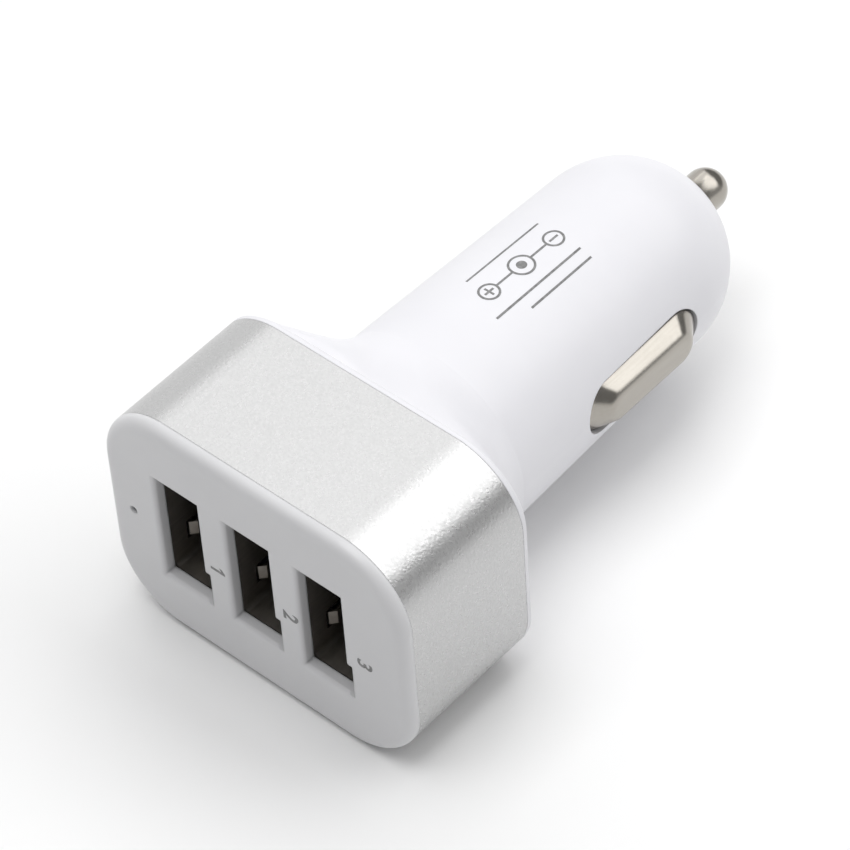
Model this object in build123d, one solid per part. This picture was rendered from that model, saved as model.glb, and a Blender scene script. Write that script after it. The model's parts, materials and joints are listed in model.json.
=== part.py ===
"""Car charger plug with three USB sockets in a flat head.

Millimetres, +Z up. The origin is on the plug's axis at the rear rim of the head.
+Y runs along the barrel to the centre pin, and the USB face looks along -Y.
"""
import math
import os

from build123d import *

# Head: outline, depth and the visible rims in front of and behind the sleeve
head_width = 34.5
head_height = 25.4
head_corner = 7.2
head_depth = 16.2
face_rim = 1.35
rear_rim = 0.7
rim_edge = 0.25
rear_wall = 1.4
ledge_width = 1.2
ledge_depth = 0.9

# Sleeve over the housing's box
sleeve_wall = 1.0
sleeve_edge = 0.03
sleeve_gap = 0.1
box_wall = 1.2

# Face plate
face_thickness = 1.8
face_round = 1.2
lip_wall = 0.9
lip_depth = 2.6
lip_gap = 0.1

# USB windows in the face
port_count = 3
port_pitch = 8.2
port_row_x = -0.43
window_width = 5.0
window_height = 12.5
window_web = 1.25
window_round = 0.45
relief_width = 0.82
relief_height = 4.15
pocket_gap = 0.35

# Barrel, measured at the rear rim and where the nose starts to round
barrel_length = 42.4
barrel_root_r = 10.95
barrel_nose_r = 9.85
barrel_wall = 1.4
nose_length = 9.2
nose_edge = 1.5
nose_wall = 3.0

# Flare between the head's outline and the barrel
flare_length = 7.0
flare_power = 2
flare_stations = 4
flare_points = 48
flare_ledge = 0.35
flare_sink = 0.02

# Centre pin, its guide in the nose and its coil spring
tip_r = 2.1
tip_reach = 5.0
tip_travel = 2.5
tip_gap = 0.1
tip_flange_r = 3.3
tip_flange = 1.0
tip_pilot_r = 1.5
tip_pilot = 0.8
guide_r = 4.2
guide_length = 8.0
spring_wire = 0.45
spring_r = 2.1
spring_turns = 3.5
spring_sides = 5
spring_reserve = 0.5
spring_gap = 0.04
terminal_thickness = 0.4
terminal_width = 6.4
terminal_height = 6.0
terminal_corner = 1.0
terminal_leg_width = 3.2
terminal_leg = 2.2

# Side contacts: drawn cups in slots of the barrel, and their leaf springs
contact_y = 24.0
contact_length = 15.3
contact_width = 5.5
crown_length = 11.1
crown_width = 3.1
crown_round = 0.9
contact_proud = 1.06
contact_sunk = 0.5
contact_sheet = 0.45
contact_flange = 0.9
contact_gap = 0.2
leaf_width = 6.4
leaf_span = 7.4
leaf_sheet = 0.25
leaf_foot = 0.5
leaf_gap = 0.05

# Circuit boards
board_gap = 0.2
port_board_thickness = 1.2
main_board_thickness = 1.6
main_board_width = 16.4
main_board_setback = 1.2
neck_width = 10.0
neck_start = 14.0
tab_width = 2.2
rail_gap = 0.15
rail_height = 1.3
rail_reach = 1.0
rail_length = 5.0

# USB sockets
shell_inside_width = 5.12
shell_inside_height = 12.5
shell_wall = 0.3
shell_corner = 0.5
shell_gap = 0.1
finger_width = 1.6
finger_offset = 3.3
finger_bump = 0.5
finger_depth = 4.1
finger_nose = 0.6
finger_root = 9.8
finger_slit = 0.3
insulator_base = 2.6
insulator_gap = 0.05
tongue_thickness = 1.84
tongue_height = 11.1
tongue_offset = 0.1
tongue_depth = 4.3
tongue_chamfer = 0.4
pin_width = 1.0
pin_thickness = 0.3
pin_proud = 0.05
pin_setback = 0.6
pin_tail = 0.4
pin_places = (-3.5, -1.0, 1.0, 3.5)

# Indicator
led_inset = 3.15
led_z = 0.2
led_hole_r = 0.4
led_width = 0.8
led_height = 1.6
led_depth = 0.8
pipe_r = 0.6
pipe_recess = 0.3
pipe_gap = 0.05
lip_break = 3.0

# Converter parts on the main board
choke_y = 5.2
choke_r = 4.0
choke_height = 6.0
choke_flange = 1.0
choke_waist = 2.2
winding_r = 3.5
winding_gap = 0.1
input_can_y = 12.4
input_can_r = 2.5
input_can_height = 6.8
output_can_y = 4.4
output_can_r = 3.15
output_can_height = 6.6
can_groove = 0.3
can_groove_height = 1.2
chip_y = 11.2
chip_length = 4.9
chip_width = 3.9
chip_height = 1.5
lead_count = 4
lead_pitch = 1.27
lead_width = 0.42
lead_reach = 1.05
lead_foot = 0.2
diode_y = 17.6
diode_length = 4.4
diode_width = 3.6
diode_height = 2.2
diode_taper = 0.3
small_length = 2.0
small_width = 1.25
small_height = 0.6
small_pitch = 2.6
small_count = 3
small_y = 19.4

# Places that follow from the sizes above
face_y = -head_depth
face_back = face_y + face_thickness
sleeve_front = face_y + face_rim
box_width = head_width - 2 * (sleeve_wall + sleeve_gap)
box_height = head_height - 2 * (sleeve_wall + sleeve_gap)
box_corner = head_corner - sleeve_wall - sleeve_gap
room_width = box_width - 2 * box_wall
room_height = box_height - 2 * box_wall
room_corner = box_corner - box_wall
nose_y = barrel_length - nose_length
guide_y = barrel_length - guide_length
flange_front = guide_y - tip_gap
flange_back = flange_front - tip_flange
spring_length = tip_travel + (spring_turns + 1) * spring_wire + spring_reserve
terminal_front = flange_back - spring_length
neck_end = terminal_front - terminal_thickness
port_board_back = -rear_wall
port_board_front = port_board_back - port_board_thickness
shell_width = shell_inside_width + 2 * shell_wall
shell_height = shell_inside_height + 2 * shell_wall
pocket_front = face_y + window_web
shell_front = pocket_front + shell_gap
tongue_front = face_y + tongue_depth
led_x = led_inset - head_width / 2
port_places = [port_row_x + port_pitch * (i - (port_count - 1) / 2) for i in range(port_count)]


def barrel_r(y):
    """Outer radius of the tapered barrel at a distance y from the rear rim."""
    return barrel_root_r + (barrel_nose_r - barrel_root_r) * y / nose_y


def prism(sketch, y_low, y_high):
    """Extrude a sketch drawn in X and Z between two stations along the axis."""
    return extrude(Plane.XZ.offset(-y_high) * sketch, amount=y_high - y_low)


def face_of(*lines):
    """Plane face inside a closed run of lines and arcs."""
    return make_face([edge for line in lines for edge in line.edges()])


def flare():
    """Loft from the head's rounded outline at the rear rim to just under the barrel's skin."""
    sections = []
    for station in range(flare_stations):
        share = station / (flare_stations - 1)
        y = share * flare_length
        blend = (1 - share) ** flare_power
        circle = barrel_r(y) - flare_sink
        half_width = circle + blend * (head_width / 2 - flare_ledge - circle)
        half_height = circle + blend * (head_height / 2 - flare_ledge - circle)
        corner = circle - flare_sink + blend * (head_corner - flare_ledge - circle)
        outline = RectangleRounded(2 * half_width, 2 * half_height, corner).wire()
        points = [outline @ (i / flare_points) for i in range(flare_points)]
        sections.append(Plane.XZ.offset(-y) * face_of(Spline(*points, periodic=True)))
    return loft(sections)


def barrel():
    """Solid of the tapered barrel from the rear rim on, with a ball-shaped nose."""
    sweep_angle = math.degrees(math.asin(nose_length / barrel_nose_r))
    nose = CenterArc((0, nose_y), barrel_nose_r, 0, sweep_angle)
    sides = Polyline(
        nose @ 1,
        (0, barrel_length),
        (0, 0),
        (barrel_r(0), 0),
        nose @ 0,
    )
    solid = revolve(face_of(nose, sides), axis=Axis.Y)
    return fillet(solid.edges().group_by(Axis.Y)[-1], nose_edge)


def barrel_room():
    """Hollow of the barrel, from the head's room to the guide of the centre pin."""
    throat_r = barrel_r(-rear_wall) - barrel_wall
    profile = Polyline(
        (0, -rear_wall),
        (throat_r, -rear_wall),
        (barrel_nose_r - barrel_wall, nose_y),
        (guide_r, barrel_length - nose_wall),
        (guide_r, guide_y),
        (0, guide_y),
        close=True,
    )
    return revolve(face_of(profile), axis=Axis.Y)


def contact_slot(x_low, x_high, length, width):
    """Upright slot shape along the barrel, extruded sideways between two places."""
    sketch = Pos(contact_y, 0) * SlotOverall(length, width)
    return extrude(Plane.YZ.offset(x_low) * sketch, amount=x_high - x_low)


def board_rails():
    """Four ribs on the barrel's inner wall that hold the main board's long edges."""
    rails = []
    base = main_board_thickness / 2 + rail_gap
    inner_x = main_board_width / 2 - rail_reach
    outer_x = barrel_r(flare_length + rail_length) - barrel_wall / 2
    rail = Box(outer_x - inner_x, rail_length, rail_height)
    for side in (-1, 1):
        for level in (-1, 1):
            x = side * (inner_x + outer_x) / 2
            y = flare_length + rail_length / 2
            z = level * (base + rail_height / 2)
            rails.append(Pos(x, y, z) * rail)
    return rails


def barrel_housing():
    """Barrel, nose, flare, rear rim and the box that the sleeve slides over."""
    rim = prism(RectangleRounded(head_width, head_height, head_corner), -rear_rim, 0)
    rim = chamfer(rim.edges().group_by(Axis.Y)[-1], rim_edge)
    box = prism(RectangleRounded(box_width, box_height, box_corner), face_back, -rear_rim)
    body = rim + box + flare() + barrel()
    room = prism(RectangleRounded(room_width, room_height, room_corner), face_back, -rear_wall)
    throat = RectangleRounded(
        room_width - 2 * ledge_width, room_height - 2 * ledge_width, room_corner - ledge_width
    )
    throat = prism(throat, -rear_wall, ledge_depth - rear_wall)
    pin_hole = prism(Circle(tip_r + tip_gap), guide_y, barrel_length)
    body = body - room - throat - barrel_room() - pin_hole

    slot_length = contact_length + 2 * contact_gap
    slot_width = contact_width + 2 * contact_gap
    inner_x = flange_seat() - contact_sheet
    for side in (-1, 1):
        body = body - contact_slot(side * inner_x, side * head_width / 2, slot_length, slot_width)
    return body + board_rails()


def head_sleeve():
    """Aluminium tube round the head between the two rims."""
    outline = RectangleRounded(head_width, head_height, head_corner)
    hole = RectangleRounded(
        head_width - 2 * sleeve_wall, head_height - 2 * sleeve_wall, head_corner - sleeve_wall
    )
    tube = prism(outline, sleeve_front, -rear_rim)
    ends = tube.edges().group_by(Axis.Y)
    tube = chamfer(ends[0] + ends[-1], sleeve_edge)
    return tube - prism(hole, sleeve_front, -rear_rim)


def faceplate():
    """Face with rounded rim, three USB windows, the indicator hole and a locating lip."""
    plate = prism(RectangleRounded(head_width, head_height, head_corner), face_y, sleeve_front)
    plate = fillet(plate.edges().group_by(Axis.Y)[0], face_round)
    plate += prism(RectangleRounded(box_width, box_height, box_corner), sleeve_front, face_back)

    lip_width = room_width - 2 * lip_gap
    lip_height = room_height - 2 * lip_gap
    lip_corner = room_corner - lip_gap
    lip = RectangleRounded(lip_width, lip_height, lip_corner)
    lip -= RectangleRounded(
        lip_width - 2 * lip_wall, lip_height - 2 * lip_wall, lip_corner - lip_wall
    )
    ring = prism(lip, face_back, face_back + lip_depth)
    gap_width = lip_width / 2 + led_x + lip_break / 2
    gap_x = -lip_width / 2 + gap_width / 2
    ring -= prism(Pos(gap_x, led_z) * Rectangle(gap_width, lip_break), face_back, 0)
    plate += ring

    for x in port_places:
        plate -= prism(Pos(x, 0) * Rectangle(window_width, window_height), face_y, face_back)
    mouths = plate.edges().filter_by_position(Axis.Y, face_y, face_y)
    inner = mouths.filter_by_position(Axis.Z, -window_height / 2, window_height / 2)
    inner = inner.filter_by_position(Axis.X, *windows_span())
    plate = fillet(inner, window_round)

    notch = Rectangle(relief_width, relief_height)
    pocket = Rectangle(shell_width + 2 * pocket_gap, shell_height + 2 * pocket_gap)
    for x in port_places:
        notch_x = x + (window_width + relief_width) / 2
        notch_z = (relief_height - window_height) / 2
        plate -= prism(Pos(notch_x, notch_z) * notch, face_y, face_back)
        plate -= prism(Pos(x, 0) * pocket, pocket_front, face_back)
    return plate - prism(Pos(led_x, led_z) * Circle(led_hole_r), face_y, face_back)


def windows_span():
    """Left and right limits of the row of windows."""
    return port_places[0] - window_width / 2, port_places[-1] + window_width / 2


def flange_seat():
    """Outer face of a side contact's flange, clear of the barrel's inner wall."""
    end_y = contact_y + contact_length / 2 + contact_flange
    half_width = contact_width / 2 + contact_flange
    inner_r = barrel_r(end_y) - barrel_wall
    return math.sqrt(inner_r**2 - half_width**2) - contact_gap


def side_contact(side):
    """Drawn cup with a flat crown, sloped sides and a flange behind the barrel's wall."""
    seat_x = flange_seat()
    shoulder_x = barrel_r(contact_y) - contact_sunk
    crown_x = barrel_r(contact_y) + contact_proud

    def cup(inset, back_x):
        low = Pos(contact_y, 0) * SlotOverall(contact_length - 2 * inset, contact_width - 2 * inset)
        top = Pos(contact_y, 0) * SlotOverall(crown_length - inset, crown_width - inset)
        wall = extrude(Plane.YZ.offset(back_x) * low, amount=shoulder_x - back_x)
        base = Plane.YZ.offset(shoulder_x) * low
        crown = Plane.YZ.offset(crown_x - inset) * top
        slope = loft([base, crown], ruled=True)
        return wall, slope

    wall, slope = cup(0, seat_x - contact_sheet)
    crown_edges = slope.edges().group_by(Axis.X)[-1]
    slope = fillet(crown_edges, crown_round)
    hollow_wall, hollow_slope = cup(contact_sheet, seat_x - contact_sheet)
    plate = RectangleRounded(
        contact_length + 2 * contact_flange, contact_width + 2 * contact_flange, contact_width / 2
    )
    plate = Plane.YZ.offset(seat_x - contact_sheet) * (Pos(contact_y, 0) * plate)
    contact = extrude(plate, amount=contact_sheet) + wall + slope - hollow_wall - hollow_slope
    return contact if side > 0 else mirror(contact, Plane.YZ)


def contact_spring(side):
    """Arched leaf between the main board's edge and a side contact's flange."""
    foot_x = neck_width / 2
    crown_x = flange_seat() - contact_sheet - leaf_gap
    start = contact_y - leaf_span / 2
    end = contact_y + leaf_span / 2
    outer = ThreePointArc((foot_x, start), (crown_x, contact_y), (foot_x, end))
    inner = ThreePointArc(
        (foot_x, end - leaf_foot), (crown_x - leaf_sheet, contact_y), (foot_x, start + leaf_foot)
    )
    arch = face_of(outer, Line(outer @ 1, inner @ 0), inner, Line(inner @ 1, outer @ 0))
    leaf = extrude(arch, amount=leaf_width / 2, both=True)
    return leaf if side > 0 else mirror(leaf, Plane.YZ)


def tip_contact():
    """Turned centre pin: spring pilot, stop flange, shank and domed end."""
    tip_end = barrel_length + tip_reach
    dome_y = tip_end - tip_r
    dome = CenterArc((0, dome_y), tip_r, 0, 90)
    sides = Polyline(
        (0, tip_end),
        (0, flange_back - tip_pilot),
        (tip_pilot_r, flange_back - tip_pilot),
        (tip_pilot_r, flange_back),
        (tip_flange_r, flange_back),
        (tip_flange_r, flange_front),
        (tip_r, flange_front),
        (tip_r, dome_y),
    )
    return revolve(face_of(dome, sides), axis=Axis.Y)


def tip_spring():
    """Coil spring between the terminal and the centre pin's flange."""
    rise = spring_length - spring_wire - 2 * spring_gap
    base = (0, terminal_front + spring_gap + spring_wire / 2, 0)
    coil = Helix(rise / spring_turns, rise, spring_r, center=base, direction=(0, 1, 0))
    section = Plane(origin=coil @ 0, z_dir=coil % 0) * RegularPolygon(spring_wire / 2, spring_sides)
    return sweep(section, path=coil, is_frenet=True)


def tip_terminal():
    """Plate on the main board's end with a leg on each side of the board."""
    outline = RectangleRounded(terminal_width, terminal_height, terminal_corner)
    plate = prism(outline, neck_end, terminal_front)
    for level in (-1, 1):
        z = level * (main_board_thickness + terminal_thickness) / 2
        leg = Box(terminal_leg_width, terminal_leg, terminal_thickness)
        plate += Pos(0, neck_end - terminal_leg / 2, z) * leg
    return plate


def usb_shell(x):
    """Folded socket shell with two spring fingers on each wide side."""
    inner = RectangleRounded(shell_inside_width, shell_inside_height, shell_corner)
    outer = RectangleRounded(shell_width, shell_height, shell_corner + shell_wall)
    shell = prism(outer - inner, shell_front, port_board_front)
    wall_x = shell_inside_width / 2
    bump_y = face_y + finger_depth
    nose_end = bump_y - finger_nose
    root_y = face_y + finger_root
    profile = Polyline(
        (wall_x + shell_wall, root_y),
        (wall_x + shell_wall - finger_bump, bump_y),
        (wall_x + shell_wall, nose_end),
        (wall_x, nose_end),
        (wall_x - finger_bump, bump_y),
        (wall_x, root_y),
        close=True,
    )
    finger = extrude(face_of(profile), amount=finger_width / 2, both=True)
    slit_y = nose_end - finger_slit
    slit = Box(2 * shell_wall, root_y - slit_y, finger_width + 2 * finger_slit)
    slit = Pos(wall_x + shell_wall / 2, (root_y + slit_y) / 2, 0) * slit
    for z in (-finger_offset, finger_offset):
        for turn in (0, 180):
            shell -= Rot(0, turn, 0) * Pos(0, 0, z) * slit
            shell += Rot(0, turn, 0) * Pos(0, 0, z) * finger
    return Pos(x, 0, 0) * shell


def usb_pins(x):
    """Four flat contacts along a tongue, through its base and the port board."""
    length = port_board_back + pin_tail - tongue_front - pin_setback
    strip = Box(pin_thickness, length, pin_width)
    pin_x = x + tongue_offset - pin_proud + pin_thickness / 2
    pin_y = tongue_front + pin_setback + length / 2
    return [Pos(pin_x, pin_y, z) * strip for z in pin_places]


def usb_tongue(x):
    """Insulator: a base that fills the shell's rear and the tongue that carries the pins."""
    base = Rectangle(
        shell_inside_width - 2 * insulator_gap, shell_inside_height - 2 * insulator_gap
    )
    base_front = port_board_front - insulator_base
    body = prism(fillet(base.vertices(), shell_corner), base_front, port_board_front)
    blade = Pos(tongue_offset + tongue_thickness / 2, 0) * Rectangle(tongue_thickness, tongue_height)
    blade = prism(blade, tongue_front, base_front)
    blade = chamfer(blade.edges().group_by(Axis.Y)[0], tongue_chamfer)
    body = Pos(x, 0, 0) * (body + blade)
    for pin in usb_pins(x):
        body -= pin
    return body


def port_board():
    """Board across the head, seated on the housing's ledge, slotted for pins and tabs."""
    width = room_width - 2 * board_gap
    height = room_height - 2 * board_gap
    outline = RectangleRounded(width, height, room_corner - board_gap)
    board = prism(outline, port_board_front, port_board_back)
    for x in port_places:
        for pin in usb_pins(x):
            board -= pin
    for x in tab_places():
        board -= prism(
            Pos(x, 0) * Rectangle(tab_width, main_board_thickness), port_board_front, port_board_back
        )
    return board


def tab_places():
    """Middle of each gap between neighbouring USB sockets."""
    return [(a + b) / 2 for a, b in zip(port_places, port_places[1:])]


def main_board():
    """Board along the barrel, narrowed between the side contacts and tabbed to the port board."""
    start = port_board_back + main_board_setback
    wide = Pos(0, (start + neck_start) / 2) * Rectangle(main_board_width, neck_start - start)
    neck = Pos(0, (neck_start + neck_end) / 2) * Rectangle(neck_width, neck_end - neck_start)
    outline = wide + neck
    for x in tab_places():
        tab = Rectangle(tab_width, start - port_board_front)
        outline += Pos(x, (start + port_board_front) / 2) * tab
    return extrude(outline, amount=main_board_thickness / 2, both=True)


def light_pipe():
    """Clear rod from the indicator to its hole in the face."""
    rear = port_board_front - led_depth - pipe_gap
    rod = prism(Pos(led_x, led_z) * Circle(pipe_r), face_back + pipe_gap, rear)
    neck = prism(
        Pos(led_x, led_z) * Circle(led_hole_r - pipe_gap), face_y + pipe_recess, face_back + pipe_gap
    )
    return rod + neck


def indicator_led():
    """Small light on the port board behind the light pipe."""
    chip = Pos(led_x, led_z) * Rectangle(led_width, led_height)
    return prism(chip, port_board_front - led_depth, port_board_front)


def stand(solid, y, side):
    """Place a solid drawn upright from z = 0 on the main board's upper or lower face."""
    lifted = Pos(0, y, main_board_thickness / 2) * solid
    return lifted if side > 0 else mirror(lifted, Plane.XY)


def inductor_core():
    """Ferrite drum of the converter's choke."""
    waist = Cylinder(choke_waist, choke_height, align=(Align.CENTER, Align.CENTER, Align.MIN))
    disc = Cylinder(choke_r, choke_flange, align=(Align.CENTER, Align.CENTER, Align.MIN))
    drum = waist + disc + Pos(0, 0, choke_height - choke_flange) * disc
    return stand(drum, choke_y, 1)


def inductor_winding():
    """Copper winding in the drum's groove."""
    height = choke_height - 2 * choke_flange - 2 * winding_gap
    ring = Circle(winding_r) - Circle(choke_waist + winding_gap)
    coil = Pos(0, 0, choke_flange + winding_gap) * extrude(ring, amount=height)
    return stand(coil, choke_y, 1)


def electrolytic(radius, height):
    """Aluminium can with the crimped groove near its base."""
    side = [
        (0, 0),
        (radius, 0),
        (radius, can_groove_height - can_groove),
        (radius - can_groove, can_groove_height),
        (radius, can_groove_height + can_groove),
        (radius, height - can_groove),
        (radius - can_groove, height),
        (0, height),
    ]
    profile = Plane.XZ * face_of(Polyline(*side, close=True))
    return revolve(profile, axis=Axis.Z)


def controller_chip():
    """Converter chip with four leads on each long side."""
    body = Box(chip_width, chip_length, chip_height - lead_foot)
    body = chamfer(body.edges().group_by(Axis.Z)[-1], lead_foot)
    chip = Pos(0, 0, lead_foot + (chip_height - lead_foot) / 2) * body
    reach = chip_width / 2 + lead_reach
    knee = chip_height / 2
    lead = Polyline(
        (chip_width / 2 - lead_foot, knee),
        (chip_width / 2 + 2 * lead_foot, knee),
        (reach - lead_reach / 2, lead_foot),
        (reach, lead_foot),
        (reach, 0),
        (reach - lead_reach / 2 - lead_foot, 0),
        (chip_width / 2 + lead_foot, knee - lead_foot),
        (chip_width / 2 - lead_foot, knee - lead_foot),
        close=True,
    )
    bar = extrude(Plane.XZ * face_of(lead), amount=lead_width / 2, both=True)
    for i in range(lead_count):
        y = lead_pitch * (i - (lead_count - 1) / 2)
        for turn in (0, 180):
            chip += Pos(0, y, 0) * Rot(0, 0, turn) * bar
    return stand(chip, chip_y, -1)


def rectifier_diode():
    """Moulded power diode with drafted sides."""
    low = Rectangle(diode_width, diode_length)
    top = Rectangle(diode_width - 2 * diode_taper, diode_length - 2 * diode_taper)
    body = loft([low, Pos(0, 0, diode_height) * top], ruled=True)
    return stand(body, diode_y, -1)


def chip_parts():
    """Row of small resistors and capacitors across the main board's upper face."""
    part = Box(
        small_width, small_length, small_height, align=(Align.CENTER, Align.CENTER, Align.MIN)
    )
    placed = stand(part, small_y, 1)
    middle = (small_count - 1) / 2
    return [Pos(small_pitch * (i - middle), 0, 0) * placed for i in range(small_count)]


def write(name, *solids):
    """Export one node, as a group where it holds several solids."""
    shape = solids[0] if len(solids) == 1 else Compound(children=list(solids))
    export_step(shape, f"parts/{name}.step")


os.makedirs("parts", exist_ok=True)
write("barrel_housing", barrel_housing())
write("head_sleeve", head_sleeve())
write("faceplate", faceplate())
write("port_board", port_board())
write("main_board", main_board())
for number, place in enumerate(port_places, start=1):
    write(f"usb_shell_{number}", usb_shell(place))
    write(f"usb_tongue_{number}", usb_tongue(place))
    write(f"usb_pins_{number}", *usb_pins(place))
for name, side in (("left", -1), ("right", 1)):
    write(f"side_contact_{name}", side_contact(side))
    write(f"contact_spring_{name}", contact_spring(side))
write("tip_contact", tip_contact())
write("tip_spring", tip_spring())
write("tip_terminal", tip_terminal())
write("light_pipe", light_pipe())
write("indicator_led", indicator_led())
write("inductor_core", inductor_core())
write("inductor_winding", inductor_winding())
write("input_capacitor", stand(electrolytic(input_can_r, input_can_height), input_can_y, 1))
write("output_capacitor", stand(electrolytic(output_can_r, output_can_height), output_can_y, -1))
write("controller_chip", controller_chip())
write("rectifier_diode", rectifier_diode())
write("chip_parts", *chip_parts())
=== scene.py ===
"""Looks of the car charger plug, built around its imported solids."""
import json
import math

import bmesh
import bpy
from mathutils import Matrix, Vector


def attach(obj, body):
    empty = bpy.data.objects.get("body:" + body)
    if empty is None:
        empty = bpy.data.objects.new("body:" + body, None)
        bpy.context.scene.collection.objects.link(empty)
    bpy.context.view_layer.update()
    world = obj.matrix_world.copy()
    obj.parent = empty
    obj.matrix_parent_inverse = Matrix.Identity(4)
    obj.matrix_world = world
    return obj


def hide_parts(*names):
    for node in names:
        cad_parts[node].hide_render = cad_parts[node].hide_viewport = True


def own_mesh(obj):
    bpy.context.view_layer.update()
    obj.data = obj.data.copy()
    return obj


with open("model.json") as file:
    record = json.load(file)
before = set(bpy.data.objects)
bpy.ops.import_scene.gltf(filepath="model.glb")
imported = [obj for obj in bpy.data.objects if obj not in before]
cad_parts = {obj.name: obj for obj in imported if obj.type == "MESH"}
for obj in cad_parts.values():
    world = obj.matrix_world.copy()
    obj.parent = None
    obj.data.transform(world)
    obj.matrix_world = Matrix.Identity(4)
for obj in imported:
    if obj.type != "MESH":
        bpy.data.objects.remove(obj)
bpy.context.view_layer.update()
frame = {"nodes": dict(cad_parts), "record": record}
NODES = frame["nodes"]
MM = 0.001

# Solids that the added pieces sit on, in millimetres
FACE_Y = -16.2
FLOOR_Z = -12.7
BARREL_ROOT_R = 10.95
BARREL_NOSE_R = 9.85
BARREL_TAPER_LENGTH = 33.2

# Ink: how far a mark stands proud of its surface and reaches into it
INK_HEIGHT = 0.012
INK_DEPTH = 0.05

# Polarity sign and rules on the barrel: u runs to the head, v down the right side
PRINT_Y = 20.0
PRINT_ANGLE = 88.0
LINE_WIDTH = 0.22
RING_STEPS = 40
CENTRE_RING_R = 1.3
CENTRE_DOT_R = 0.5
POLE_RING_R = 1.05
POLE_SIGN_LENGTH = 1.1
POLE_U = 4.35
LINK_LENGTH = 2.0
LINK_U = 2.3
POLARITY_V = -0.6
RULE_LENGTHS_AND_PLACES = ((9.6, (-0.4, -3.2)), (11.4, (0.6, 1.9)), (8.2, (-1.0, 3.2)))

# Port numbers on the face, turned on their side
DIGIT_HEIGHT = 1.6
DIGIT_SHARE_OF_FONT_SIZE = 0.7
DIGIT_BOLD = 0.05
DIGIT_PITCH = 8.45
DIGIT_ROW_X = 4.1
DIGIT_Z = -0.7
ONE_OUTLINE = [
    (-0.02, -0.74), (0.3, -0.74), (0.3, 0.92), (0.03, 0.92), (-0.37, 0.58), (-0.37, 0.27),
    (-0.02, 0.55),
]

# Coil behind the centre pin and leaves behind the side contacts
COIL_R = 2.1
COIL_WIRE_R = 0.225
COIL_TURNS = 3.5
COIL_START_Y = 28.54
COIL_RISE = 4.495
COIL_STEPS_PER_TURN = 24
COIL_SIDES = 10
LEAF_FOOT_X = 5.0

# Clean-up of meshes: points closer than this are one, edges above this angle stay sharp
WELD_DISTANCE = 0.0005
SHARP_ANGLE = 30.0

# Camera worked out from the outline in the photograph, in degrees, pixels and millimetres
CAMERA_AZIMUTH = 44.213
CAMERA_ELEVATION = 47.409
CAMERA_ROLL = -4.264
CAMERA_ASIDE = 14.319
CAMERA_ABOVE = 13.672
CAMERA_DISTANCE = 369.571
CAMERA_SCALE = 1.02
CAMERA_NEAREST = 10.0
CAMERA_FARTHEST = 20000.0
FOCAL_PIXELS = 4423.3
IMAGE_SIDE = 850
SENSOR = 36.0

# Studio
FLOOR_HALF_SIDE = 3000.0
FLOOR_GAP = 0.02
WORLD_STRENGTH = 0.26

# Part of a texture's range that is mapped onto a colour or a roughness
TEXTURE_LOW = 0.3
TEXTURE_HIGH = 0.7
BEVEL_SAMPLES = 6


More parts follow.
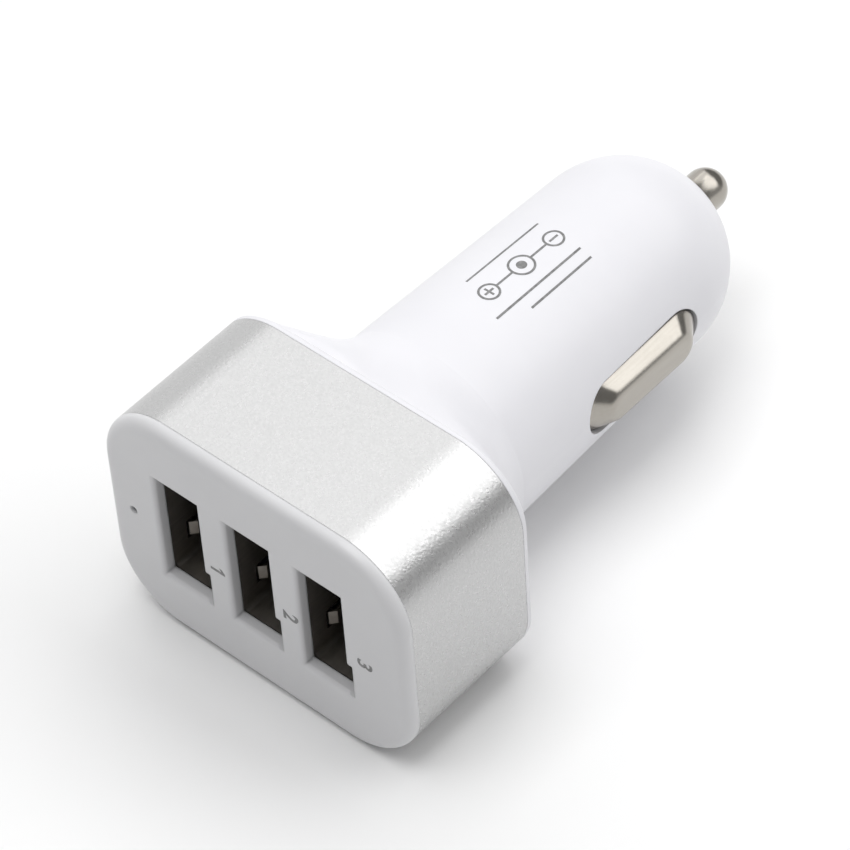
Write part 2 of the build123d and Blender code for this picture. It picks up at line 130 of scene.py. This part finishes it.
class Shader:
    """One procedural material: a principled shader with the few nodes that feed it."""

    def __init__(self, name, color, roughness, metallic=0.0, **inputs):
        self.material = bpy.data.materials.new(name)
        self.material.use_nodes = True
        self.tree = self.material.node_tree
        self.nodes = self.tree.nodes
        self.bsdf = self.nodes["Principled BSDF"]
        self.bsdf.inputs["Base Color"].default_value = (*color, 1.0)
        self.bsdf.inputs["Roughness"].default_value = roughness
        self.bsdf.inputs["Metallic"].default_value = metallic
        for key, value in inputs.items():
            self.bsdf.inputs[key.replace("_", " ")].default_value = value
        self.where = self.nodes.new("ShaderNodeTexCoord").outputs["Object"]
        self.normal = None

    def link(self, source, target):
        self.tree.links.new(source, target)

    def stretched(self, scale):
        """Object coordinates in metres, multiplied along each axis."""
        node = self.nodes.new("ShaderNodeMapping")
        node.inputs["Scale"].default_value = scale
        self.link(self.where, node.inputs["Vector"])
        return node.outputs["Vector"]

    def noise(self, scale, detail=3.0, vector=None):
        node = self.nodes.new("ShaderNodeTexNoise")
        node.inputs["Scale"].default_value = scale
        node.inputs["Detail"].default_value = detail
        self.link(vector or self.where, node.inputs["Vector"])
        return node.outputs["Fac"]

    def cell_edges(self, scale):
        """Distance to the nearest border between cells."""
        node = self.nodes.new("ShaderNodeTexVoronoi")
        node.feature = "DISTANCE_TO_EDGE"
        node.inputs["Scale"].default_value = scale
        self.link(self.where, node.inputs["Vector"])
        return node.outputs["Distance"]

    def bands(self, scale, direction, distortion=0.0):
        node = self.nodes.new("ShaderNodeTexWave")
        node.bands_direction = direction
        node.inputs["Scale"].default_value = scale
        node.inputs["Distortion"].default_value = distortion
        self.link(self.where, node.inputs["Vector"])
        return node.outputs["Fac"]

    def tint(self, source, dark, light, start=TEXTURE_LOW, end=TEXTURE_HIGH):
        """Base colour that runs from one colour to another with a texture."""
        ramp = self.nodes.new("ShaderNodeValToRGB")
        ramp.color_ramp.elements[0].position = start
        ramp.color_ramp.elements[0].color = (*dark, 1.0)
        ramp.color_ramp.elements[1].position = end
        ramp.color_ramp.elements[1].color = (*light, 1.0)
        self.link(source, ramp.inputs["Fac"])
        self.link(ramp.outputs["Color"], self.bsdf.inputs["Base Color"])

    def gloss(self, source, low, high):
        """Roughness that runs from low to high with a texture."""
        node = self.nodes.new("ShaderNodeMapRange")
        node.inputs["From Min"].default_value = TEXTURE_LOW
        node.inputs["From Max"].default_value = TEXTURE_HIGH
        node.inputs["To Min"].default_value = low
        node.inputs["To Max"].default_value = high
        self.link(source, node.inputs["Value"])
        self.link(node.outputs["Result"], self.bsdf.inputs["Roughness"])

    def rounded(self, radius):
        """Soften the shading of sharp edges over a small radius in metres."""
        node = self.nodes.new("ShaderNodeBevel")
        node.samples = BEVEL_SAMPLES
        node.inputs["Radius"].default_value = radius
        self.normal = node.outputs["Normal"]
        self.link(self.normal, self.bsdf.inputs["Normal"])

    def bump(self, source, strength, depth):
        """Fine relief of a texture, over the softened edges if there are any."""
        node = self.nodes.new("ShaderNodeBump")
        node.inputs["Strength"].default_value = strength
        node.inputs["Distance"].default_value = depth
        self.link(source, node.inputs["Height"])
        if self.normal:
            self.link(self.normal, node.inputs["Normal"])
        self.link(node.outputs["Normal"], self.bsdf.inputs["Normal"])


def gray(value, warm=0.0):
    """Neutral colour, or a warm one where red is raised and blue lowered."""
    return (value * (1 + warm), value, value * (1 - warm))


def white_gloss():
    s = Shader("white_gloss", gray(0.8), roughness=0.36, IOR=1.48)
    s.rounded(radius=0.00015)
    s.tint(s.noise(scale=90), dark=(0.785, 0.782, 0.815), light=(0.815, 0.812, 0.842))
    s.gloss(s.noise(scale=700), low=0.33, high=0.42)
    s.bump(s.noise(scale=650, detail=2.0), strength=0.05, depth=0.00003)
    return s.material


# Same white plastic as the barrel, painted darker: painted shade for the front face, which gets
# less of the top light
def white_face():
    s = Shader("white_face", gray(0.68), roughness=0.34, IOR=1.5)
    s.rounded(radius=0.00032)
    s.tint(s.noise(scale=120), dark=(0.665, 0.665, 0.678), light=(0.69, 0.69, 0.703))
    s.gloss(s.noise(scale=900), low=0.31, high=0.38)
    s.bump(s.noise(scale=4200, detail=2.0), strength=0.04, depth=0.00002)
    return s.material


def sleeve_metal():
    s = Shader("sleeve_metal", gray(0.53), roughness=0.26, metallic=1.0)
    grain = s.noise(scale=3900)
    s.tint(grain, dark=gray(0.515), light=gray(0.555))
    s.gloss(s.noise(scale=2500), low=0.25, high=0.35)
    s.bump(grain, strength=0.5, depth=0.00005)
    return s.material


def contact_metal():
    s = Shader("contact_metal", gray(0.4, warm=0.08), roughness=0.2, metallic=1.0)
    s.rounded(radius=0.00055)
    streaks = s.noise(scale=1.0, vector=s.stretched((4200, 260, 4200)))
    s.tint(streaks, dark=(0.385, 0.362, 0.326), light=(0.41, 0.387, 0.351))
    s.gloss(s.noise(scale=2200), low=0.14, high=0.2)
    s.bump(streaks, strength=0.008, depth=0.00002)
    return s.material


def shell_steel():
    s = Shader("shell_steel", gray(0.42, warm=0.06), roughness=0.38, metallic=1.0)
    streaks = s.noise(scale=1.0, detail=2.0, vector=s.stretched((3000, 350, 3000)))
    s.tint(streaks, dark=(0.4, 0.375, 0.342), light=(0.45, 0.425, 0.39))
    s.gloss(s.noise(scale=1800), low=0.34, high=0.42)
    s.bump(streaks, strength=0.03, depth=0.00002)
    return s.material


def spring_steel():
    s = Shader("spring_steel", gray(0.55), roughness=0.28, metallic=1.0)
    s.tint(s.noise(scale=2400), dark=(0.46, 0.46, 0.47), light=(0.62, 0.62, 0.63))
    s.gloss(s.noise(scale=3000), low=0.22, high=0.36)
    return s.material


def terminal_brass():
    s = Shader("terminal_brass", (0.72, 0.58, 0.33), roughness=0.3, metallic=1.0)
    s.tint(s.noise(scale=1200), dark=(0.62, 0.48, 0.26), light=(0.78, 0.65, 0.4))
    s.gloss(s.noise(scale=2600), low=0.24, high=0.4)
    return s.material


def pin_plate():
    s = Shader("pin_plate", (0.83, 0.66, 0.32), roughness=0.22, metallic=1.0)
    s.tint(s.noise(scale=1600), dark=(0.74, 0.56, 0.25), light=(0.88, 0.72, 0.4))
    s.gloss(s.noise(scale=3000), low=0.16, high=0.3)
    return s.material


def tongue_black():
    s = Shader("tongue_black", gray(0.03), roughness=0.5)
    s.tint(s.noise(scale=900), dark=gray(0.022), light=gray(0.04))
    s.gloss(s.noise(scale=2000), low=0.42, high=0.58)
    s.bump(s.noise(scale=5000), strength=0.1, depth=0.00002)
    return s.material


def board():
    s = Shader("board", (0.03, 0.2, 0.09), roughness=0.35)
    tracks = s.cell_edges(scale=420)
    s.tint(tracks, dark=(0.03, 0.26, 0.11), light=(0.02, 0.15, 0.07), start=0.04, end=0.1)
    s.gloss(s.noise(scale=1500), low=0.28, high=0.42)
    return s.material


def clear_plastic():
    s = Shader(
        "clear_plastic", (0.3, 0.32, 0.33), roughness=0.15, Transmission_Weight=0.6, IOR=1.49
    )
    s.tint(s.noise(scale=600), dark=(0.26, 0.28, 0.29), light=(0.34, 0.36, 0.37))
    s.gloss(s.noise(scale=2000), low=0.1, high=0.22)
    return s.material


def led_body():
    s = Shader("led_body", (0.85, 0.8, 0.5), roughness=0.3)
    s.tint(s.noise(scale=1500), dark=(0.84, 0.76, 0.4), light=(0.9, 0.86, 0.62))
    s.gloss(s.noise(scale=2500), low=0.24, high=0.38)
    return s.material


def ferrite():
    s = Shader("ferrite", gray(0.07), roughness=0.6)
    s.tint(s.noise(scale=3000), dark=gray(0.05), light=gray(0.1))
    s.gloss(s.noise(scale=1800), low=0.52, high=0.7)
    s.bump(s.noise(scale=3500), strength=0.2, depth=0.00004)
    return s.material


def copper():
    s = Shader("copper", (0.62, 0.3, 0.13), roughness=0.28, metallic=1.0)
    turns = s.bands(scale=900, direction="Z")
    s.tint(turns, dark=(0.36, 0.15, 0.06), light=(0.72, 0.37, 0.17))
    s.gloss(s.noise(scale=2000), low=0.2, high=0.36)
    s.bump(turns, strength=0.6, depth=0.0001)
    return s.material


def can_metal():
    s = Shader("can_metal", gray(0.68), roughness=0.3, metallic=1.0)
    rings = s.noise(scale=1.0, detail=2.0, vector=s.stretched((150, 150, 5000)))
    s.tint(rings, dark=gray(0.6), light=gray(0.74))
    s.gloss(s.noise(scale=2000), low=0.24, high=0.38)
    return s.material


def chip_black():
    s = Shader("chip_black", gray(0.035), roughness=0.55)
    s.tint(s.noise(scale=4000), dark=gray(0.028), light=gray(0.05))
    s.gloss(s.noise(scale=2500), low=0.48, high=0.64)
    s.bump(s.noise(scale=6000), strength=0.15, depth=0.00002)
    return s.material


def chip_ceramic():
    s = Shader("chip_ceramic", (0.36, 0.25, 0.16), roughness=0.5)
    ends = s.bands(scale=250, direction="Y", distortion=0.5)
    s.tint(ends, dark=(0.3, 0.2, 0.12), light=(0.48, 0.36, 0.25))
    s.gloss(s.noise(scale=2500), low=0.4, high=0.6)
    return s.material


def print_ink():
    s = Shader("print_ink", gray(0.2), roughness=0.5)
    s.tint(s.noise(scale=2600), dark=gray(0.15), light=gray(0.27))
    s.gloss(s.noise(scale=3000), low=0.42, high=0.58)
    return s.material


def floor_paint():
    s = Shader("floor_paint", gray(0.9), roughness=0.6)
    s.tint(s.noise(scale=25), dark=gray(0.895), light=gray(0.91))
    s.gloss(s.noise(scale=60), low=0.55, high=0.65)
    return s.material


def dress_nodes():
    """Give each solid the material of its slot in the record."""
    makers = (
        white_gloss, white_face, sleeve_metal, contact_metal, spring_steel, terminal_brass, board,
        shell_steel, tongue_black, pin_plate, clear_plastic, led_body, ferrite, copper, can_metal,
        chip_black, chip_ceramic,
    )
    by_slot = {maker.__name__: maker() for maker in makers}
    for entry in frame["record"]["subparts"]:
        mesh = NODES[entry["node"]].data
        mesh.materials.clear()
        mesh.materials.append(by_slot[entry["material_slot"]])
    return by_slot


def piece_from(name, mesh, material, body="housing"):
    """Link a mesh as a piece that rides on a body of the model."""
    mesh.name = name
    mesh.materials.clear()
    mesh.materials.append(material)
    piece = bpy.data.objects.new(name, mesh)
    bpy.context.scene.collection.objects.link(piece)
    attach(piece, body)
    return piece


def finished(built):
    """Turn a built mesh's faces outward and hand it over as mesh data."""
    bmesh.ops.recalc_face_normals(built, faces=built.faces)
    mesh = bpy.data.meshes.new("built")
    built.to_mesh(mesh)
    built.free()
    return mesh


def weld(mesh):
    """Merge a mesh's doubled points and turn its faces outward."""
    built = bmesh.new()
    built.from_mesh(mesh)
    bmesh.ops.remove_doubles(built, verts=built.verts, dist=WELD_DISTANCE * MM)
    bmesh.ops.recalc_face_normals(built, faces=built.faces)
    built.to_mesh(mesh)
    built.free()


def centre_pin(material):
    """Pin with the point of its dome welded, so that no sliver there spoils the shading."""
    mesh = NODES["tip_contact"].data.copy()
    weld(mesh)
    mesh.shade_smooth()
    mesh.set_sharp_from_angle(angle=math.radians(SHARP_ANGLE))
    mesh.normals_split_custom_set([(0.0, 0.0, 0.0)] * len(mesh.loops))
    pin = piece_from("pin_body", mesh, material, body="centre_pin")
    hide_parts("tip_contact")


def coil_mesh():
    """Round wire wound along the plug's axis, closed at both ends."""
    steps = round(COIL_STEPS_PER_TURN * COIL_TURNS)
    slope = math.atan2(COIL_RISE, 2 * math.pi * COIL_R * COIL_TURNS)
    axis = Vector((0, 1, 0))
    rim = [2 * math.pi * k / COIL_SIDES for k in range(COIL_SIDES)]
    built = bmesh.new()
    rings = []
    for i in range(steps + 1):
        share = i / steps
        turn = 2 * math.pi * COIL_TURNS * share
        outward = Vector((math.sin(turn), 0, math.cos(turn)))
        forward = Vector((math.cos(turn), 0, -math.sin(turn)))
        upward = math.cos(slope) * axis - math.sin(slope) * forward
        middle = COIL_R * outward + (COIL_START_Y + COIL_RISE * share) * axis
        spots = [
            middle + COIL_WIRE_R * (math.cos(a) * outward + math.sin(a) * upward) for a in rim
        ]
        rings.append([built.verts.new(spot * MM) for spot in spots])
    for low, high in zip(rings, rings[1:]):
        for k in range(COIL_SIDES):
            after = (k + 1) % COIL_SIDES
            built.faces.new((low[k], low[after], high[after], high[k])).smooth = True
    built.faces.new(rings[0])
    built.faces.new(rings[-1])
    return finished(built)


def springs(material):
    """Springs behind the centre pin and the side contacts: a round-wire coil and copies of the
    leaves.
    """
    coil = piece_from("tip_coil", coil_mesh(), material)
    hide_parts("tip_spring")
    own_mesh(coil)
    for side, foot_x in (("left", -LEAF_FOOT_X), ("right", LEAF_FOOT_X)):
        node = f"contact_spring_{side}"
        mesh = NODES[node].data.copy()
        leaf = piece_from(f"leaf_{side}", mesh, material)
        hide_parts(node)
        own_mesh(leaf)


def circle(radius):
    """Points round a circle."""
    turns = [2 * math.pi * i / RING_STEPS for i in range(RING_STEPS)]
    return [(radius * math.cos(turn), radius * math.sin(turn)) for turn in turns]


def ring(radius):
    """Flat ring one line wide: its faces and points."""
    faces = []
    for i in range(RING_STEPS):
        after = (i + 1) % RING_STEPS
        faces.append((i, after, RING_STEPS + after, RING_STEPS + i))
    return faces, circle(radius) + circle(radius - LINE_WIDTH)


def disc(radius):
    """Flat disc of triangles about its middle: its faces and points."""
    faces = [(RING_STEPS, i, (i + 1) % RING_STEPS) for i in range(RING_STEPS)]
    return faces, circle(radius) + [(0.0, 0.0)]


def bar(length, width):
    """Flat bar along u: its face and points."""
    u, v = length / 2, width / 2
    return [(0, 1, 2, 3)], [(-u, -v), (u, -v), (u, v), (-u, v)]


def stamp(name, shapes, place, material):
    """Make thin closed ink marks: flat shapes laid on a surface by place(u, v, height)."""
    built = bmesh.new()
    for (faces, points), (du, dv) in shapes:
        top = [built.verts.new(place(u + du, v + dv, INK_HEIGHT)) for u, v in points]
        low = [built.verts.new(place(u + du, v + dv, -INK_DEPTH)) for u, v in points]
        border = {}
        for face in faces:
            built.faces.new([top[i] for i in face])
            built.faces.new([low[i] for i in reversed(face)])
            for a, b in zip(face, face[1:] + face[:1]):
                if (b, a) in border:
                    del border[(b, a)]
                else:
                    border[(a, b)] = True
        for a, b in border:
            built.faces.new((top[b], top[a], low[a], low[b]))
    piece_from(name, finished(built), material)


def barrel_r(y):
    """Outer radius of the tapered barrel, in millimetres."""
    return BARREL_ROOT_R + (BARREL_NOSE_R - BARREL_ROOT_R) * y / BARREL_TAPER_LENGTH


def on_barrel(u, v, height):
    """Lay a flat mark on the barrel: u runs to the head, v down its right side."""
    y = PRINT_Y - u
    r = barrel_r(y) + height
    angle = math.radians(PRINT_ANGLE) - v / barrel_r(PRINT_Y)
    return Vector((r * math.cos(angle), y, r * math.sin(angle))) * MM


def barrel_print(ink):
    """Plain polarity sign between rules, all of simple shapes."""
    middle = (0.0, POLARITY_V)
    minus = (-POLE_U, POLARITY_V)
    plus = (POLE_U, POLARITY_V)
    link = bar(LINK_LENGTH, LINE_WIDTH)
    flat = bar(POLE_SIGN_LENGTH, LINE_WIDTH)
    upright = bar(LINE_WIDTH, POLE_SIGN_LENGTH)
    shapes = [
        (ring(CENTRE_RING_R), middle),
        (disc(CENTRE_DOT_R), middle),
        (link, (-LINK_U, POLARITY_V)),
        (link, (LINK_U, POLARITY_V)),
        (ring(POLE_RING_R), minus),
        (ring(POLE_RING_R), plus),
        (flat, minus),
        (flat, plus),
        (upright, plus),
    ]
    stamp("print_polarity", shapes, on_barrel, ink)
    rules = [(bar(length, LINE_WIDTH), place) for length, place in RULE_LENGTHS_AND_PLACES]
    stamp("print_rules", rules, on_barrel, ink)


def digit_x(number):
    """Place of a port's number across the face."""
    return DIGIT_ROW_X + DIGIT_PITCH * (number - 2)


def at_first_port(u, v, height):
    """Lay a flat mark on the face at the first port's number, turned on its side."""
    return Vector((digit_x(1) + v, FACE_Y - height, DIGIT_Z - u)) * MM


def font_digit(number):
    """Mesh of a digit in the built-in font, centred on its own origin and facing up."""
    thickness = INK_HEIGHT + INK_DEPTH
    curve = bpy.data.curves.new(f"digit_{number}", "FONT")
    curve.body = str(number)
    curve.size = DIGIT_HEIGHT / DIGIT_SHARE_OF_FONT_SIZE * MM
    curve.offset = DIGIT_BOLD * MM
    curve.align_x = "CENTER"
    curve.align_y = "CENTER"
    curve.extrude = thickness / 2 * MM
    text = bpy.data.objects.new(f"digit_{number}_text", curve)
    bpy.context.scene.collection.objects.link(text)
    bpy.context.view_layer.update()
    graph = bpy.context.evaluated_depsgraph_get()
    mesh = bpy.data.meshes.new_from_object(text.evaluated_get(graph))
    bpy.data.objects.remove(text)
    return mesh


def face_digits(ink):
    """Plain port numbers beside the windows; the font's 1 is a bare bar, so it is drawn."""
    one = [tuple(range(len(ONE_OUTLINE)))], ONE_OUTLINE
    stamp("digit_1", [(one, (0.0, 0.0))], at_first_port, ink)
    across = Vector((0, 0, -1))
    upward = Vector((1, 0, 0))
    outward = Vector((0, -1, 0))
    turn = Matrix((across, upward, outward)).transposed().to_4x4()
    middle_y = FACE_Y + (INK_DEPTH - INK_HEIGHT) / 2
    for number in (2, 3):
        mesh = font_digit(number)
        move = Matrix.Translation(Vector((digit_x(number), middle_y, DIGIT_Z)) * MM)
        mesh.transform(move @ turn)
        weld(mesh)
        piece_from(f"digit_{number}", mesh, ink)


def camera():
    """Camera at the photograph's place, with its turn about the view."""
    azimuth = math.radians(CAMERA_AZIMUTH)
    elevation = math.radians(CAMERA_ELEVATION)
    roll = math.radians(CAMERA_ROLL)
    right = Vector((math.cos(azimuth), math.sin(azimuth), 0))
    level = math.cos(elevation)
    back = Vector((math.sin(azimuth) * level, -math.cos(azimuth) * level, math.sin(elevation)))
    up = back.cross(right)
    turned_right = math.cos(roll) * right + math.sin(roll) * up
    turned_up = math.cos(roll) * up - math.sin(roll) * right
    target = CAMERA_ASIDE * turned_right + CAMERA_ABOVE * turned_up
    place = CAMERA_SCALE * (target + CAMERA_DISTANCE * back) + Vector((0, FACE_Y, 0))
    data = bpy.data.cameras.new("camera")
    data.sensor_fit = "HORIZONTAL"
    data.sensor_width = SENSOR
    data.lens = FOCAL_PIXELS / IMAGE_SIDE * SENSOR
    data.clip_start = CAMERA_NEAREST * MM
    data.clip_end = CAMERA_FARTHEST * MM
    obj = bpy.data.objects.new("camera", data)
    axes = Matrix((turned_right, turned_up, back)).transposed().to_4x4()
    obj.matrix_world = Matrix.Translation(place * MM) @ axes
    bpy.context.scene.collection.objects.link(obj)
    bpy.context.scene.camera = obj


def floor():
    """Plain pale floor under the head's lower edge."""
    half = FLOOR_HALF_SIDE * MM
    z = (FLOOR_Z - FLOOR_GAP) * MM
    corners = [(-half, -half, z), (half, -half, z), (half, half, z), (-half, half, z)]
    mesh = bpy.data.meshes.new("floor")
    mesh.from_pydata(corners, [], [(0, 1, 2, 3)])
    mesh.materials.append(floor_paint())
    obj = bpy.data.objects.new("floor", mesh)
    bpy.context.scene.collection.objects.link(obj)


def softbox(name, direction, distance, size, radiance):
    """Rectangular light that faces the model, with its width across the plug's axis.

    Distance and size are in metres.
    """
    width, length = size
    away = Vector(direction).normalized()
    across = Vector((0, 1, 0)).cross(away).normalized()
    along = away.cross(across)
    data = bpy.data.lights.new(name, "AREA")
    data.shape = "RECTANGLE"
    data.size = width
    data.size_y = length
    data.energy = radiance * math.pi * width * length
    obj = bpy.data.objects.new(name, data)
    turn = Matrix((across, along, away)).transposed().to_4x4()
    obj.matrix_world = Matrix.Translation(away * distance) @ turn
    bpy.context.scene.collection.objects.link(obj)


def studio():
    """Panels in an arc behind the plug, dim at both ends, a bright one on top and a gray room."""
    scene = bpy.context.scene
    world = bpy.data.worlds.new("studio")
    world.use_nodes = True
    background = world.node_tree.nodes["Background"]
    background.inputs["Color"].default_value = (1.0, 1.0, 1.0, 1.0)
    background.inputs["Strength"].default_value = WORLD_STRENGTH
    scene.world = world
    softbox("key", (0.30, 0.50, 0.80), distance=1.1, size=(1.35, 0.7), radiance=2.0)
    softbox("middle", (-0.472, 0.485, 0.736), distance=1.2, size=(0.67, 0.8), radiance=1.24)
    softbox("left", (-0.825, 0.485, 0.289), distance=1.3, size=(0.85, 1.0), radiance=0.78)
    softbox("top", (-0.1, -0.16, 1.0), distance=1.2, size=(0.8, 0.8), radiance=3.6)
    softbox("right", (0.86, 0.45, 0.16), distance=1.3, size=(0.75, 1.0), radiance=0.2)
    scene.view_settings.view_transform = "Standard"


materials = dress_nodes()
springs(materials["spring_steel"])
centre_pin(materials["contact_metal"])
ink = print_ink()
barrel_print(ink)
face_digits(ink)
camera()
floor()
studio()
